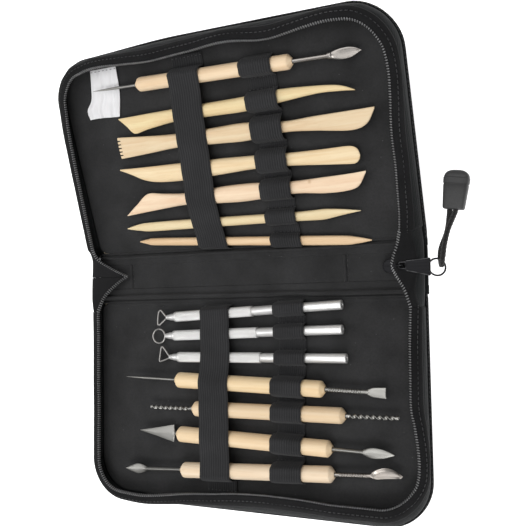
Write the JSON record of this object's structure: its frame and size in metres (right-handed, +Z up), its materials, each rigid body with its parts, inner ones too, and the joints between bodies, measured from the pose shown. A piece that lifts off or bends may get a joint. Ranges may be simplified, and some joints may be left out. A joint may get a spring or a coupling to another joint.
{
  "type": "clay shaping tool kit",
  "caption": "Zip-up fabric case that folds open, with wooden, wire-loop and steel-tipped clay shaping tools under elastic bands.",
  "frame": {"origin": "centre of the base half's resting face, on the surface that the case lies on", "axes": "+X along the folds towards the zip pull, +Y from the base over the spine to the raised cover, +Z up"},
  "size_m": [0.239, 0.2664, 0.0556],
  "materials": {
    "shell_fabric": "black woven polyester over thin foam",
    "lining_fabric": "dark grey fine woven lining",
    "elastic": "black ribbed elastic webbing",
    "board": "plain grey board",
    "zip_nylon": "black nylon coil on woven tape",
    "label_cloth": "white satin label cloth, blank",
    "pull_metal": "dark plated metal",
    "cord_fibre": "black braided cord",
    "rubber": "moulded dark grey rubber",
    "wood": "pale sanded boxwood",
    "steel": "polished steel",
    "aluminium": "bright satin aluminium, knurled grip"
  },
  "bodies": {
    "base": {"base_shell": "shell_fabric", "base_board": "board", "base_lining": "lining_fabric", "base_wall": "shell_fabric", "base_zip_tape": "zip_nylon", "base_wide_band": "elastic", "base_loop_band": "elastic"},
    "spine": {"spine_shell": "shell_fabric", "spine_board": "board", "spine_lining": "lining_fabric", "base_fold_piping": "shell_fabric", "cover_fold_piping": "shell_fabric", "left_gusset": "shell_fabric", "right_gusset": "shell_fabric"},
    "cover": {"cover_shell": "shell_fabric", "cover_board": "board", "cover_lining": "lining_fabric", "cover_wall": "shell_fabric", "cover_zip_tape": "zip_nylon", "cover_wide_band": "elastic", "cover_loop_band": "elastic", "care_label": "label_cloth"},
    "slider": {"zip_slider": "pull_metal"},
    "tab": {"pull_tab": "pull_metal"},
    "grip": {"pull_cord": "cord_fibre", "pull_grip": "rubber"},
    "needle_spoon": {"needle_spoon_handle": "wood", "needle_spoon_needle": "steel", "needle_spoon_spoon": "steel"},
    "slant_knife": {"slant_knife": "wood"},
    "comb_knife": {"comb_knife": "wood"},
    "round_knife": {"round_knife": "wood"},
    "skew_knife": {"skew_knife": "wood"},
    "thin_blade": {"thin_blade": "wood"},
    "thin_stick": {"thin_stick": "wood"},
    "triangle_loop": {"triangle_loop_handle": "aluminium", "triangle_loop_wire": "steel"},
    "ring_loop": {"ring_loop_handle": "aluminium", "ring_loop_wire": "steel"},
    "slant_loop": {"slant_loop_handle": "aluminium", "slant_loop_wire": "steel"},
    "needle_chisel": {"needle_chisel_handle": "wood", "needle_chisel_needle": "steel", "needle_chisel_chisel": "steel"},
    "twist": {"twist_handle": "wood", "twist_left_rod": "steel", "twist_right_rod": "steel"},
    "blade_leaf": {"blade_leaf_handle": "wood", "blade_leaf_blade": "steel", "blade_leaf_leaf": "steel"},
    "spear_spoon": {"spear_spoon_handle": "wood", "spear_spoon_spear": "steel", "spear_spoon_spoon": "steel"}
  },
  "joints": [
    {"name": "spine_fold", "type": "hinge", "parent": "base", "child": "spine", "pos_m": [0, 0.062, 0.0013], "axis": [1, 0, 0], "range_deg": [0, 90]},
    {"name": "cover_fold", "type": "hinge", "parent": "spine", "child": "cover", "pos_m": [0, 0.088, 0.0013], "axis": [1, 0, 0], "range_deg": [-20.8, 69.2]},
    {"name": "slider_travel", "type": "slide", "parent": "spine", "child": "slider", "axis": [-1, 0, 0], "range_m": [-0.003, 0.004]},
    {"name": "tab_hinge", "type": "hinge", "parent": "slider", "child": "tab", "pos_m": [0.0965, 0.075, 0.0098], "axis": [0, 1, 0], "range_deg": [-125, 0]},
    {"name": "grip_swing", "type": "hinge", "parent": "tab", "child": "grip", "pos_m": [0.117, 0.075, 0.0098], "axis": [0, 0, 1], "range_deg": [-90, 10]},
    {"name": "needle_spoon_slide", "type": "slide", "parent": "cover", "child": "needle_spoon", "axis": [0.9999, -0.014, -0.0053], "range_m": [-0.01, 0.009]},
    {"name": "slant_knife_slide", "type": "slide", "parent": "cover", "child": "slant_knife", "axis": [0.9998, 0.0187, 0.0071], "range_m": [-0.037, 0.015]},
    {"name": "comb_knife_slide", "type": "slide", "parent": "cover", "child": "comb_knife", "axis": [1, 0, 0], "range_m": [-0.033, 0.006]},
    {"name": "round_knife_slide", "type": "slide", "parent": "cover", "child": "round_knife", "axis": [1, 0, 0], "range_m": [-0.03, 0.016]},
    {"name": "skew_knife_slide", "type": "slide", "parent": "cover", "child": "skew_knife", "axis": [1, 0.0093, 0.0036], "range_m": [-0.028, 0.015]},
    {"name": "thin_blade_slide", "type": "slide", "parent": "cover", "child": "thin_blade", "axis": [1, 0.0047, 0.0018], "range_m": [-0.025, 0.012]},
    {"name": "thin_stick_slide", "type": "slide", "parent": "cover", "child": "thin_stick", "axis": [0.9997, -0.0234, -0.0089], "range_m": [-0.03, 0.007]},
    {"name": "triangle_loop_slide", "type": "slide", "parent": "base", "child": "triangle_loop", "axis": [0.9987, 0.0519, 0], "range_m": [-0.04, 0.025]},
    {"name": "ring_loop_slide", "type": "slide", "parent": "base", "child": "ring_loop", "axis": [0.9995, 0.031, 0], "range_m": [-0.038, 0.028]},
    {"name": "slant_loop_slide", "type": "slide", "parent": "base", "child": "slant_loop", "axis": [1, 0.005, 0], "range_m": [-0.04, 0.03]},
    {"name": "needle_chisel_slide", "type": "slide", "parent": "base", "child": "needle_chisel", "axis": [0.9996, -0.03, 0], "range_m": [-0.019, 0.012]},
    {"name": "twist_slide", "type": "slide", "parent": "base", "child": "twist", "axis": [1, 0, 0], "range_m": [-0.037, 0.005]},
    {"name": "blade_leaf_slide", "type": "slide", "parent": "base", "child": "blade_leaf", "axis": [0.9996, -0.03, 0], "range_m": [-0.029, 0.006]},
    {"name": "spear_spoon_slide", "type": "slide", "parent": "base", "child": "spear_spoon", "axis": [0.9988, 0.0479, 0], "range_m": [-0.018, 0.004]}
  ]
}
